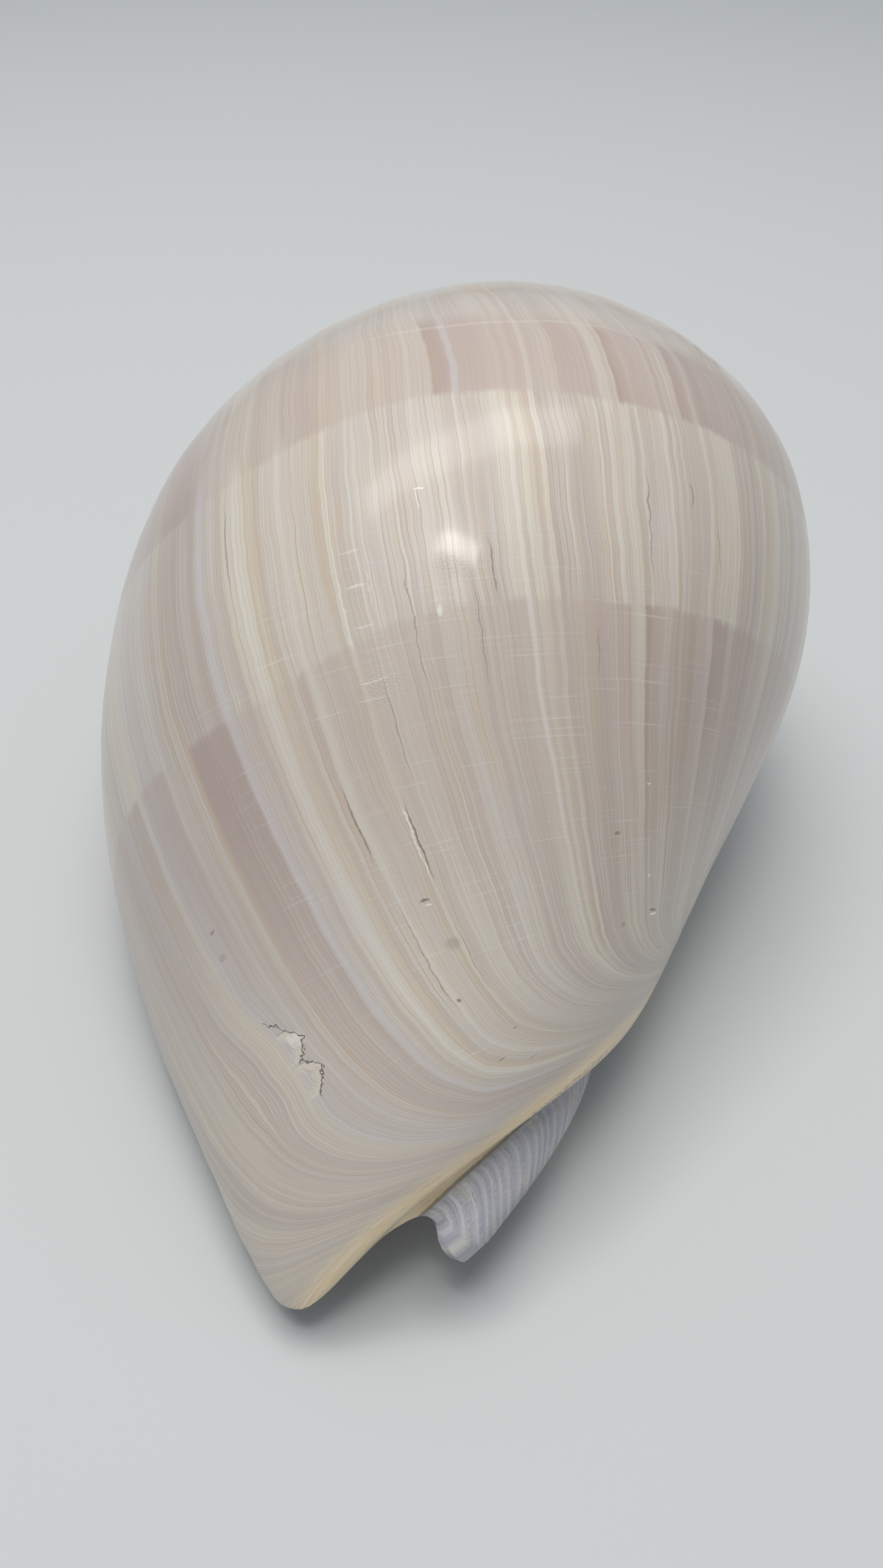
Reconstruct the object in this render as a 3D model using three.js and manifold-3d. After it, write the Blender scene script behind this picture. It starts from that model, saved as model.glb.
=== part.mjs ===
import * as THREE from 'three';
import Module from 'manifold-3d';

const wasm = await Module();
wasm.setup();

// Lengths are in millimetres and turns in radians. The shell is drawn round its coiling axis first,
// with the top of the spire up, and laid down on its mouth at the end.

// Half section of the last turn at full size, from the seam at the top to the front tip.
// Each point is its radius, its height, and how far round the lip reaches there.
const PROFILE = [
  [15, 2.4, 0.48],
  [30, 10.5, 0.48],
  [44, 8.5, 0.5],
  [64, -12, 0.49],
  [78.5, -34.5, 0.46],
  [83.5, -56.5, 0.4],
  [82, -94, 0.32],
  [68, -128, 0.13],
  [51, -162, -0.15],
  [43.5, -180, -0.3],
  [32.7, -200, -0.38],
  [27, -189, -0.97],
  [24.7, -205.5, -1.32],
  [21, -214.5, -1.48],
  [10.3, -203.5, -1.7],
  [4.8, -201, -1.98],
  [1.8, -203.5, -2.28],
];
const GROWTH = 0.14; // every length grows by this much for each radian of turn
const STEP = Math.PI / 18; // one row of the surface in ten degrees

const WALL = 3.6; // wall at full size
const CANAL = 0.69; // how far along the section the hollow reaches
const FRONT_FILL = -190; // height of the solid front end's inner side at the axis
const NORMAL_SPAN = 0.05; // how far either side of a point the wall's direction is taken from
const HOLLOW_END = -5.1; // turn at which the hollow is closed
const PREVIOUS_ROWS = 16; // rows of the filled turn behind the hollow
const EARLY_ROWS = 30; // rows of the small first turns

const AXIS_GAP = 1.6; // free space left round the axis, filled by the column
const LIP_THIN = 0.22; // share of the wall lost on each side at the lip
const LIP_THIN_FROM = 0.8;
const LIP_ROWS = [[2.2, 0.24], [0.7, 0.3], [0, 0.42]]; // distance from the lip and share lost there
const SOLID_THIN = 0.12; // part of that thinning that the solid front end gets
const SOLID_FADE = 0.06; // places past the canal over which it falls to that

const COLUMN = [
  [2.5, 4],
  [9, 0],
  [10, -40],
  [11, -80],
  [12.5, -108],
  [11.5, -130],
  [8.5, -144],
  [4.5, -152],
  [0.8, -155],
];
const COLUMN_ROWS = 48;
const COLUMN_SIDES = 28;
const PLAITS = [-84, -96, -108, -119]; // heights of the column's folds in line with the lip
const PLAIT_HEIGHT = 1.7;
const PLAIT_WIDTH = 3;
const PLAIT_REACH = 2;

const FIRST_TURN_RADIUS = 9.5;
const FIRST_TURN_HEIGHT = -2.5;

// places along the section where the surface has a column of points, closer at the front end
const STATIONS = [
  0, 0.04, 0.08, 0.12, 0.16, 0.2, 0.24, 0.28, 0.32, 0.36, 0.4, 0.44, 0.48, 0.52, 0.55, 0.575,
  0.6, 0.62, 0.64, 0.66, 0.68, 0.695, 0.71, 0.725, 0.745, 0.765, 0.79, 0.82, 0.86, 0.91, 1,
];

// degrees about X, Y and Z that lay it on the column's tip, the lip and the last turn's belly
const LAY_DOWN = [70.55, 0.72, 179.74];

const SHELL_COLOUR = 0xcbbfb0;
const SHELL_ROUGHNESS = 0.3;

// smooth curve through a row of points, reaching both end points
function curve(points, place) {
  const last = points.length - 1;
  const pick = (i, k) => {
    if (i < 0) return 2 * points[0][k] - points[1][k];
    if (i > last) return 2 * points[last][k] - points[last - 1][k];
    return points[i][k];
  };
  const along = Math.min(Math.max(place, 0), 1) * last;
  const i = Math.min(Math.floor(along), last - 1);
  const t = along - i;
  const weights = [
    (1 - t) ** 3 / 6,
    (3 * t ** 3 - 6 * t ** 2 + 4) / 6,
    (-3 * t ** 3 + 3 * t ** 2 + 3 * t + 1) / 6,
    t ** 3 / 6,
  ];
  return points[0].map((_, k) => weights.reduce((sum, w, n) => sum + w * pick(i - 1 + n, k), 0));
}

function outside(place) {
  const [radius, height] = curve(PROFILE, place);
  return [radius, height];
}

function lipReach(place) {
  return curve(PROFILE, place)[2];
}

// inner side of the wall, measured square to the section
function wallInside(place) {
  const at = Math.min(place, CANAL);
  const before = outside(Math.max(at - NORMAL_SPAN, 0));
  const after = outside(at + NORMAL_SPAN);
  const along = [after[0] - before[0], after[1] - before[1]];
  const length = Math.hypot(along[0], along[1]);
  const [radius, height] = outside(at);
  const inner = [radius + (WALL * along[1]) / length, height - (WALL * along[0]) / length];
  if (place <= CANAL) return inner;
  const share = (place - CANAL) / (1 - CANAL);
  return [inner[0] + share * (AXIS_GAP - inner[0]), inner[1] + share * (FRONT_FILL - inner[1])];
}

function axisInside(place) {
  const top = outside(0)[1];
  const bottom = outside(1)[1];
  return [AXIS_GAP, top + place * (bottom - top)];
}

// a point of the section, carried round the axis and scaled for its turn
function turned([radius, height], turn) {
  const size = Math.exp(GROWTH * turn);
  return [radius * Math.cos(turn) * size, -radius * Math.sin(turn) * size, height * size];
}

function mix(a, b, share) {
  return a.map((value, k) => value + share * (b[k] - value));
}

// closed solid between two sheets of points with the same rows and columns
function slab(outer, inner) {
  const rows = outer.length;
  const columns = outer[0].length;
  const points = [...outer.flat(), ...inner.flat()];
  const far = rows * columns;
  const faces = [];
  const quad = (a, b, c, d) => faces.push([a, c, b], [a, d, c]);
  for (let i = 0; i < rows - 1; i++) {
    for (let j = 0; j < columns - 1; j++) {
      const a = i * columns + j;
      quad(a, a + 1, a + columns + 1, a + columns);
      quad(far + a, far + a + columns, far + a + columns + 1, far + a + 1);
    }
  }
  for (let j = 0; j < columns - 1; j++) {
    const end = (rows - 1) * columns + j;
    quad(j, far + j, far + j + 1, j + 1);
    quad(end, end + 1, far + end + 1, far + end);
  }
  for (let i = 0; i < rows - 1; i++) {
    const a = i * columns;
    const b = a + columns - 1;
    quad(a, a + columns, far + a + columns, far + a);
    quad(b, far + b, far + b + columns, b + columns);
  }
  return solid(points, faces);
}

function solid(points, faces) {
  const mesh = new wasm.Mesh({
    numProp: 3,
    vertProperties: new Float32Array(points.flat()),
    triVerts: new Uint32Array(faces.flat()),
  });
  return new wasm.Manifold(mesh);
}

// filled stretch of the coil, with its last row so many rows behind the end of the hollow
function filledTurns(behind, rows) {
  const turns = Array.from({ length: rows + 1 }, (_, i) => HOLLOW_END - (behind + rows - i) * STEP);
  const outer = turns.map((turn) => STATIONS.map((place) => turned(outside(place), turn)));
  const inner = turns.map((turn) => STATIONS.map((place) => turned(axisInside(place), turn)));
  return slab(outer, inner);
}

// how much of the lip's thinning applies at a place
function thinning(place) {
  const past = Math.min(Math.max((place - CANAL) / SOLID_FADE, 0), 1);
  return 1 - (1 - SOLID_THIN) * past;
}

// thin wall of the last turn, from the closed end of the hollow to the lip
function lastTurn() {
  const from = HOLLOW_END - STEP;
  const rows = Math.round((lipReach(0) - from) / STEP);
  const outer = [];
  const inner = [];
  const addRow = (turnAt, thinAt) => {
    const thin = STATIONS.map(thinAt);
    const turns = STATIONS.map(turnAt);
    const out = STATIONS.map((place, j) => turned(outside(place), turns[j]));
    const into = STATIONS.map((place, j) => turned(wallInside(place), turns[j]));
    outer.push(out.map((point, j) => mix(point, into[j], thin[j])));
    inner.push(into.map((point, j) => mix(point, out[j], thin[j])));
  };
  const reach = lipReach(0);
  for (let i = 0; i < rows; i++) {
    const share = Math.max(i - 1, 0) / (rows - 1);
    const bend = share ** 2;
    const thin = LIP_THIN * Math.max(share - LIP_THIN_FROM, 0) / (1 - LIP_THIN_FROM);
    addRow((place) => from + i * STEP + bend * (lipReach(place) - reach), (place) => thin * thinning(place));
  }
  for (const [distance, thin] of LIP_ROWS) {
    addRow((place) => {
      const radius = outside(place)[0] * Math.exp(GROWTH * lipReach(place));
      return lipReach(place) - Math.min(distance / radius, 0.1);
    }, (place) => thin * thinning(place));
  }
  return slab(outer, inner);
}

// folds that wind down the column, strongest where the mouth shows them
function plaitHeight(turn, height) {
  const reach = Math.max(1 - Math.abs(turn) / PLAIT_REACH, 0);
  const rise = PLAITS.map((at) => {
    const away = (height - at * Math.exp(GROWTH * turn)) / PLAIT_WIDTH;
    return Math.exp(-away * away);
  });
  return PLAIT_HEIGHT * Math.sqrt(reach) * Math.max(...rise);
}

function column() {
  const points = [];
  const faces = [];
  for (let i = 0; i <= COLUMN_ROWS; i++) {
    const [radius, height] = curve(COLUMN, i / COLUMN_ROWS);
    for (let j = 0; j < COLUMN_SIDES; j++) {
      const turn = -Math.PI + (2 * Math.PI * j) / COLUMN_SIDES;
      const full = radius + Math.min(radius / 8, 1) * plaitHeight(turn, height);
      points.push([full * Math.cos(turn), -full * Math.sin(turn), height]);
    }
  }
  const top = points.length;
  points.push([0, 0, COLUMN[0][1] + 1]);
  points.push([0, 0, COLUMN[COLUMN.length - 1][1] - 0.5]);
  const ring = COLUMN_ROWS * COLUMN_SIDES;
  for (let j = 0; j < COLUMN_SIDES; j++) {
    const next = (j + 1) % COLUMN_SIDES;
    for (let i = 0; i < COLUMN_ROWS; i++) {
      const a = i * COLUMN_SIDES;
      const b = a + COLUMN_SIDES;
      faces.push([a + j, a + next, b + next], [a + j, b + next, b + j]);
    }
    faces.push([top, next, j], [top + 1, ring + j, ring + next]);
  }
  return solid(points, faces);
}

function firstTurn() {
  const ball = new THREE.IcosahedronGeometry(FIRST_TURN_RADIUS, 3);
  const source = ball.getAttribute('position');
  const seen = new Map();
  const points = [];
  const index = [];
  for (let i = 0; i < source.count; i++) {
    const point = [source.getX(i), source.getY(i), source.getZ(i) + FIRST_TURN_HEIGHT];
    const key = point.map((value) => value.toFixed(3)).join();
    if (!seen.has(key)) {
      seen.set(key, points.length);
      points.push(point);
    }
    index.push(seen.get(key));
  }
  const faces = [];
  for (let i = 0; i < index.length; i += 3) faces.push(index.slice(i, i + 3));
  return solid(points, faces);
}

// laid down, with the middle of its bounding box over the origin and its lowest point at height 0
function onFloor(geometry) {
  const [tilt, roll, yaw] = LAY_DOWN.map(THREE.MathUtils.degToRad);
  geometry.rotateX(tilt).rotateY(roll).rotateZ(yaw);
  geometry.computeBoundingBox();
  const { min, max } = geometry.boundingBox;
  geometry.translate(-(min.x + max.x) / 2, -(min.y + max.y) / 2, -min.z);
  geometry.computeVertexNormals();
  return geometry;
}

function shellGeometry() {
  const whole = lastTurn()
    .add(filledTurns(0, PREVIOUS_ROWS))
    .add(filledTurns(PREVIOUS_ROWS - 1, EARLY_ROWS))
    .add(column())
    .add(firstTurn());
  const mesh = whole.getMesh();
  const geometry = new THREE.BufferGeometry();
  geometry.setAttribute('position', new THREE.BufferAttribute(new Float32Array(mesh.vertProperties), 3));
  geometry.setIndex(new THREE.BufferAttribute(new Uint32Array(mesh.triVerts), 1));
  return onFloor(geometry);
}

function namedMesh(name, geometry, colour, roughness) {
  const material = new THREE.MeshStandardMaterial({ color: colour, roughness, metalness: 0 });
  const mesh = new THREE.Mesh(geometry, material);
  mesh.name = name;
  return mesh;
}

const group = new THREE.Group();
group.add(namedMesh('melon_shell', shellGeometry(), SHELL_COLOUR, SHELL_ROUGHNESS));

export default group;
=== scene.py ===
import math

import bpy
import numpy as np
from mathutils import Euler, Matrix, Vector
from mathutils.kdtree import KDTree


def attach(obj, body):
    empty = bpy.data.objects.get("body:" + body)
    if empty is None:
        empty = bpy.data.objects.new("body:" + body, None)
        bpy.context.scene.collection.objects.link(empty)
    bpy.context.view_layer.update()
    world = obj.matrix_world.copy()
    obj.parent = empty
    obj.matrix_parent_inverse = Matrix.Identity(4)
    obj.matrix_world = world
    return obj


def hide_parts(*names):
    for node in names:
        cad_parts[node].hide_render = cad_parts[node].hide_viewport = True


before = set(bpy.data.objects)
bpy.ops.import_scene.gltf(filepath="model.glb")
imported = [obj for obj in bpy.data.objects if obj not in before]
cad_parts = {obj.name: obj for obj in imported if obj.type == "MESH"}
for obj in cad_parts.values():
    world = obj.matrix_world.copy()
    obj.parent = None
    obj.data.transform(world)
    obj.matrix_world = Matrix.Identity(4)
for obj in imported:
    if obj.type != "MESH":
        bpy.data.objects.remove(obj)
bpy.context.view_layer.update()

bl_info = {
    "name": "Melon shell",
    "version": (1, 0, 0),
    "blender": (4, 5, 0),
    "location": "View3D > Sidebar > Melon shell",
    "description": "Builds a polished melon shell lying on its mouth, with its finish and a plain stage",
    "category": "Object",
}

# Lengths are in millimetres until a mesh is placed, and turns in radians. The shell is worked out round
# its coiling axis, with the top of the spire up, and then laid down on its mouth.
MM = 0.001

# Half section of the last turn at full size: radius, height, and how far round the lip reaches there.
PROFILE = np.array([
    (15, 2.4, 0.48),
    (30, 10.5, 0.48),
    (44, 8.5, 0.5),
    (64, -12, 0.49),
    (78.5, -34.5, 0.46),
    (83.5, -56.5, 0.4),
    (82, -94, 0.32),
    (68, -128, 0.13),
    (51, -162, -0.15),
    (43.5, -180, -0.3),
    (32.7, -200, -0.38),
    (27, -189, -0.97),
    (24.7, -205.5, -1.32),
    (21, -214.5, -1.48),
    (10.3, -203.5, -1.7),
    (4.8, -201, -1.98),
    (1.8, -203.5, -2.28),
])
GROWTH = 0.14  # every length grows by this much for each radian of turn
WALL = 3.6  # wall at full size
CANAL = 0.69  # how far along the section the hollow reaches
FRONT_FILL = -190  # height of the solid front end's inner side at the axis
NORMAL_SPAN = 0.05  # how far either side of a point the wall's direction is taken from
HOLLOW_END = -5.1  # turn at which the hollow is closed
OVERLAP = math.radians(10)  # how far two stretches of the coil reach into each other
CLOSED_FROM = HOLLOW_END - OVERLAP
FILLED_TURNS = math.radians(160)  # filled stretch behind the hollow
EARLY_TURNS = math.radians(290)  # small first turns before that
AXIS_GAP = 1.6  # free space left round the axis, filled by the column
LIP_THIN = 0.22  # share of the wall lost on each side at the lip
LIP_THIN_FROM = 0.8  # share of the way to the lip where the wall starts to thin
LIP_EDGE_THIN = 0.34  # share lost on each side at the very edge
SOLID_THIN = 0.12  # part of that thinning that the solid front end gets
SOLID_FADE = 0.06  # places past the canal over which it falls to that
RIM_ROWS = 5  # rows of points round the edge of the lip
RIM_RADIUS = 20  # least radius that the rounding of the edge is reckoned from
CHIP_DEPTH = 0.007  # how far the lip's small chips cut back, in radians

# Half section of the column: radius and height. Its folds' heights are in line with the lip.
COLUMN = np.array([
    (2.5, 4),
    (9, 0),
    (10, -40),
    (11, -80),
    (12.5, -108),
    (11.5, -130),
    (8.5, -144),
    (4.5, -152),
    (0.8, -155),
])
PLAITS = (-84, -96, -108, -119)
PLAIT_HEIGHT = 1.7
PLAIT_WIDTH = 3
PLAIT_REACH = 2  # radians each way from the lip

FIRST_TURN_RADIUS = 9.5
FIRST_TURN_HEIGHT = -2.5

# how the upright shell is turned and moved to lie on the floor
LAY_DOWN = Euler([math.radians(a) for a in (70.55, 0.72, 179.74)], "XYZ").to_matrix()
LAY_PLACE = Vector((14.436, 80.921, 56.152))

# how far a growth line trails behind its own turn, against the place along the section
TRAIL = np.array([
    (0, 0.3),
    (0.2, 0.227),
    (0.24, 0.144),
    (0.28, 0.076),
    (0.32, 0.03),
    (0.36, -0.012),
    (0.4, -0.06),
    (0.44, -0.125),
    (0.48, -0.24),
    (0.52, -0.375),
    (0.56, -0.555),
    (0.58, -0.725),
    (0.59, -0.85),
    (0.6, -1.02),
    (0.61, -1.22),
    (0.62, -1.39),
    (0.635, -1.48),
    (0.69, -1.45),
    (0.705, -1.44),
    (0.72, -1.52),
    (0.745, -1.58),
    (0.78, -1.6),
    (0.86, -1.62),
    (1, -2),
])

# the crest creeps towards the top in the older part of the turn
CREEP = 0.037
CREEP_FROM = -1.5

# ridges on the folded front end, in radians of growth
RIDGES = 96

# low knobs and dents near the top: turn, place, half widths both ways, height
KNOBS = (
    (-2.045, 0.243, 0.03, 0.006, 0.55),
    (-2.11, 0.248, 0.028, 0.006, 0.5),
    (-2.0, 0.23, 0.05, 0.01, 0.4),
    (-1.87, 0.258, 0.08, 0.0045, -0.45),
    (-2.06, 0.26, 0.04, 0.005, -0.4),
)

# millimetres on the full-size surface for each radian of growth and each unit of place
ROUND = 82
ALONG = 600

# camera: picture size and focal length in pixels, sensor and place in millimetres, turn in degrees
PHOTO_SIZE = (1450, 2576)
PHOTO_FOCAL = 1983
SENSOR = 36
CAMERA_AT = (9.4, -163.9, 191.9)
CAMERA_TURN = (44.71, -1.1, 4.44)


def curve(points, place):
    """Points of a smooth curve through a row of points, reaching both end points."""
    padded = np.vstack([2 * points[0] - points[1], points, 2 * points[-1] - points[-2]])
    along = np.clip(place, 0, 1) * (len(points) - 1)
    i = np.minimum(along.astype(int), len(points) - 2)
    t = (along - i)[..., None]
    return (
        (1 - t) ** 3 * padded[i]
        + (3 * t ** 3 - 6 * t ** 2 + 4) * padded[i + 1]
        + (-3 * t ** 3 + 3 * t ** 2 + 3 * t + 1) * padded[i + 2]
        + t ** 3 * padded[i + 3]
    ) / 6


def outside(place):
    return curve(PROFILE, place)[..., :2]


def lip_reach(place):
    return curve(PROFILE, place)[..., 2]


def wall_inside(place):
    """Inner side of the wall, square to the section, and straight to the axis past the canal."""
    at = np.minimum(place, CANAL)
    along = outside(at + NORMAL_SPAN) - outside(np.maximum(at - NORMAL_SPAN, 0))
    along /= np.linalg.norm(along, axis=-1, keepdims=True)
    inner = outside(at) + WALL * np.stack([along[..., 1], -along[..., 0]], -1)
    share = np.clip((place - CANAL) / (1 - CANAL), 0, 1)[..., None]
    return inner + share * (np.array([AXIS_GAP, FRONT_FILL]) - inner)


def axis_inside(place):
    top, bottom = PROFILE[0][1], PROFILE[-1][1]
    return np.stack([np.full_like(place, AXIS_GAP), top + place * (bottom - top)], -1)


def turned(section, turn):
    """Points of the section carried round the axis and scaled for their turn."""
    size = np.exp(GROWTH * turn)
    x = section[..., 0] * np.cos(turn) * size
    y = -section[..., 0] * np.sin(turn) * size
    return np.stack([x, y, section[..., 1] * size], -1)


def trail(place):
    """How far the growth line has fallen behind at this place, with its corners rounded."""
    near = [np.interp(place + shift, TRAIL[:, 0], TRAIL[:, 1]) for shift in np.linspace(-0.01, 0.01, 7)]
    return np.mean(near, axis=0)


def crept(turn, place):
    """Place measured from the crest as it lies at the lip."""
    return place + CREEP * np.clip(CREEP_FROM - turn, 0, 2) * hump(place, 0.56, 0.66, 0.045)


def hump(value, low, high, soft):
    """One between low and high, falling smoothly to nought over the soft distance outside them."""
    rise = np.clip((value - low + soft) / soft, 0, 1)
    fall = np.clip((high + soft - value) / soft, 0, 1)
    return (rise * rise * (3 - 2 * rise)) * (fall * fall * (3 - 2 * fall))


def relief(turn, place):
    """Height of the surface's own small forms over the smooth shell, in millimetres."""
    growth = turn - trail(crept(turn, place))
    ridges = np.sin(RIDGES * growth + 1.6 * np.sin(17 * growth)) * hump(place, 0.715, 0.82, 0.02)
    steps = np.sin(33 * growth + 1.3 * np.sin(7.3 * growth)) * hump(place, 0.2, 0.33, 0.05)
    swell = np.sin(21 * growth + 2.1 * np.sin(4.7 * growth)) * hump(place, 0.36, 0.56, 0.05)
    height = 0.035 * ridges + 0.06 * steps + 0.04 * swell
    for at_turn, at_place, wide, high, rise in KNOBS:
        height = height + rise * np.exp(-((turn - at_turn) / wide) ** 2 - ((place - at_place) / high) ** 2)
    return height


def laid(points):
    """Upright points in millimetres as points in metres, laid down on the floor."""
    turn = np.array(LAY_DOWN)
    return (points @ turn.T + np.array(LAY_PLACE)) * MM


def deselect():
    if bpy.context.mode != "OBJECT":
        bpy.ops.object.mode_set(mode="OBJECT")
    bpy.ops.object.select_all(action="DESELECT")


def only(piece):
    deselect()
    piece.select_set(True)
    bpy.context.view_layer.objects.active = piece


def grid_shaped(name, points, marks):
    """A grid primitive moved to the given rows and columns of points, then closed and turned outwards."""
    rows, columns = points.shape[:2]
    deselect()
    bpy.ops.mesh.primitive_grid_add(x_subdivisions=rows - 1, y_subdivisions=columns - 1, size=2)
    piece = bpy.context.object
    piece.name = name
    mesh = piece.data
    co = np.empty(len(mesh.vertices) * 3)
    mesh.vertices.foreach_get("co", co)
    co = co.reshape(-1, 3)
    i = np.rint((co[:, 0] + 1) / 2 * (rows - 1)).astype(int)
    j = np.rint((co[:, 1] + 1) / 2 * (columns - 1)).astype(int)
    mesh.vertices.foreach_set("co", laid(points[i, j]).ravel())
    close_up(piece)
    return piece, (laid(points).reshape(-1, 3), marks.reshape(-1, 3))


def close_up(piece):
    only(piece)
    bpy.ops.object.mode_set(mode="EDIT")
    bpy.ops.mesh.select_all(action="SELECT")
    bpy.ops.mesh.remove_doubles(threshold=0.000004)
    bpy.ops.mesh.dissolve_degenerate(threshold=0.000002)
    bpy.ops.mesh.select_all(action="SELECT")
    bpy.ops.mesh.normals_make_consistent(inside=False)
    bpy.ops.object.mode_set(mode="OBJECT")


def folded(outer, inner, marks_out, marks_in, rim=None, rim_marks=None):
    """Outer sheet, rim and inner sheet as one grid of rows, with its open sides closed."""
    parts = [outer] + ([rim] if rim is not None else []) + [inner[::-1]]
    marks = [marks_out] + ([rim_marks] if rim is not None else []) + [marks_in[::-1]]
    points = np.concatenate(parts)
    marks = np.concatenate(marks)
    middle = (outer + inner) / 2
    side = [middle] + ([np.repeat(middle[-1:], len(rim), 0)] if rim is not None else []) + [middle[::-1]]
    side = np.concatenate(side)
    points = np.concatenate([side[:, :1], points, side[:, -1:]], 1)
    marks = np.concatenate([marks[:, :1], marks, marks[:, -1:]], 1)
    end = np.concatenate([middle[:1, :1], middle[:1], middle[:1, -1:]], 1)
    points = np.concatenate([end, points, end])
    marks = np.concatenate([marks[:1], marks, marks[-1:]])
    if rim is None:
        last = np.concatenate([middle[-1:, :1], middle[-1:], middle[-1:, -1:]], 1)
        half = len(outer) + 1
        points = np.concatenate([points[:half], last, points[half:]])
        marks = np.concatenate([marks[:half], marks[half:half + 1], marks[half:]])
    return points, marks


def mark(turn, place, zone):
    """Growth line, place and zone of each spot. Zone is nought outside and one inside."""
    at = crept(turn, place)
    return np.stack([turn - trail(at), at, np.full_like(place, 0) + zone], -1)


def places(count):
    """Places along the section, closer together at the folded front end."""
    even = np.linspace(0, 1, 801)
    weight = 1 + 0.9 * hump(even, 0.56, 0.84, 0.05) + 0.8 * hump(even, 0.225, 0.265, 0.02)
    weight = weight - 0.55 * hump(even, 0.9, 1, 0.04)
    total = np.concatenate([[0], np.cumsum((weight[1:] + weight[:-1]) / 2)])
    return np.interp(np.linspace(0, total[-1], count), total, even)


def last_turn(rows_back, rows_front, columns):
    """Thin wall of the last turn, from the closed end of the hollow to the rounded lip."""
    place = places(columns)
    reach = lip_reach(np.zeros(1))[0]
    chips = 0.004 * np.sin(61 * place) + 0.003 * np.sin(137 * place + 1) + 0.002 * np.sin(291 * place + 2)
    rim_reach = WALL * (0.5 - LIP_EDGE_THIN) / np.maximum(outside(place)[:, 0], RIM_RADIUS)
    lip = lip_reach(place) - rim_reach + (chips - CHIP_DEPTH) * hump(place, 0.3, 0.62, 0.08)
    start = np.concatenate([np.linspace(CLOSED_FROM, -3.2, rows_back, endpoint=False),
                            np.linspace(-3.2, reach, rows_front)])
    share = np.clip((start - HOLLOW_END) / (reach - HOLLOW_END), 0, 1)[:, None]
    turn = start[:, None] + share ** 2 * (lip - reach)[None, :]
    at = np.broadcast_to(place, turn.shape)
    thin = np.clip((share - LIP_THIN_FROM) / (1 - LIP_THIN_FROM), 0, 1)
    thin = LIP_THIN * thin + (LIP_EDGE_THIN - LIP_THIN) * thin ** 12
    thin = thin * (1 - (1 - SOLID_THIN) * np.clip((place - CANAL) / SOLID_FADE, 0, 1))
    out = turned(outside(at), turn)
    into = turned(wall_inside(at), turn)
    outward = out - into
    outward /= np.linalg.norm(outward, axis=-1, keepdims=True)
    outer = out + thin[..., None] * (into - out) + outward * relief(turn, at)[..., None]
    inner = into + thin[..., None] * (out - into)
    middle = (outer[-1] + inner[-1]) / 2
    half = (outer[-1] - inner[-1]) / 2
    forward = out[-1] - out[-2]
    forward /= np.linalg.norm(forward, axis=-1, keepdims=True)
    forward *= np.linalg.norm(half, axis=-1, keepdims=True)
    bend = np.linspace(0, math.pi, RIM_ROWS + 2)[1:-1, None, None]
    rim = middle + half * np.cos(bend) + forward * np.sin(bend)
    rim_zone = np.linspace(0.2, 0.9, RIM_ROWS)[:, None]
    rim_marks = mark(np.repeat(turn[-1:], RIM_ROWS, 0), np.repeat(at[-1:], RIM_ROWS, 0), rim_zone)
    return folded(outer, inner, mark(turn, at, 0), mark(turn, at, 1), rim, rim_marks)


def filled_turns(start, end, rows, columns):
    """Filled stretch of the coil between two turns."""
    place = places(columns)
    turn, at = np.meshgrid(np.linspace(start, end, rows), place, indexing="ij")
    out = turned(outside(at), turn)
    into = turned(axis_inside(at), turn)
    outward = out - into
    outward /= np.linalg.norm(outward, axis=-1, keepdims=True)
    return folded(out + outward * relief(turn, at)[..., None], into, mark(turn, at, 0), mark(turn, at, 0))


def plait_height(turn, height):
    """Folds that wind down the column, strongest where the mouth shows them."""
    reach = np.clip(1 - np.abs(turn) / PLAIT_REACH, 0, 1)
    rise = [np.exp(-((height - at * np.exp(GROWTH * turn)) / PLAIT_WIDTH) ** 2) for at in PLAITS]
    return PLAIT_HEIGHT * np.sqrt(reach) * np.max(rise, axis=0)


def column(rows, sides):
    """Column with its folds. The grid's first and last columns meet, and both ends are poles."""
    angles = np.linspace(-math.pi, math.pi, sides + 1)
    share, turn = np.meshgrid(np.linspace(0, 1, rows), angles, indexing="ij")
    radius, height = np.moveaxis(curve(COLUMN, share), -1, 0)
    full = radius + np.minimum(radius / 8, 1) * plait_height(turn, height)
    points = np.stack([full * np.cos(turn), -full * np.sin(turn), height], -1)
    top = np.zeros((1, sides + 1, 3)) + (0, 0, COLUMN[0][1] + 1)
    tip = np.zeros((1, sides + 1, 3)) + (0, 0, COLUMN[-1][1] - 0.5)
    points = np.concatenate([top, points, tip])
    marks = np.stack([turn, 1.2 + share, np.full_like(turn, 1.0)], -1)
    return points, np.concatenate([marks[:1], marks, marks[-1:]])


def first_turn():
    """Ball of the first turn, a little flattened, sunk in the top of the spire."""
    deselect()
    bpy.ops.mesh.primitive_uv_sphere_add(segments=48, ring_count=24, radius=FIRST_TURN_RADIUS * MM)
    ball = bpy.context.object
    ball.name = "first_turn"
    bpy.ops.object.mode_set(mode="EDIT")
    bpy.ops.mesh.select_all(action="SELECT")
    bpy.ops.mesh.vertices_smooth(factor=0.5, repeat=2)
    bpy.ops.object.mode_set(mode="OBJECT")
    points = np.array([v.co for v in ball.data.vertices]) / MM + (0, 0, FIRST_TURN_HEIGHT)
    placed = laid(points)
    ball.data.vertices.foreach_set("co", placed.ravel())
    turn = -np.arctan2(points[:, 1], points[:, 0]) - 6 * math.pi
    marks = np.stack([turn, np.full(len(points), 0.1), np.full(len(points), 0.0)], -1)
    return ball, (placed, marks)


def join(body, others):
    """Adds the other closed bodies to the first one and deletes them."""
    for other in others:
        only(body)
        union = body.modifiers.new("join_" + other.name, "BOOLEAN")
        union.operation = "UNION"
        union.solver = "MANIFOLD"
        union.object = other
        bpy.ops.object.modifier_apply(modifier=union.name)
        bpy.data.objects.remove(other)


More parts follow.
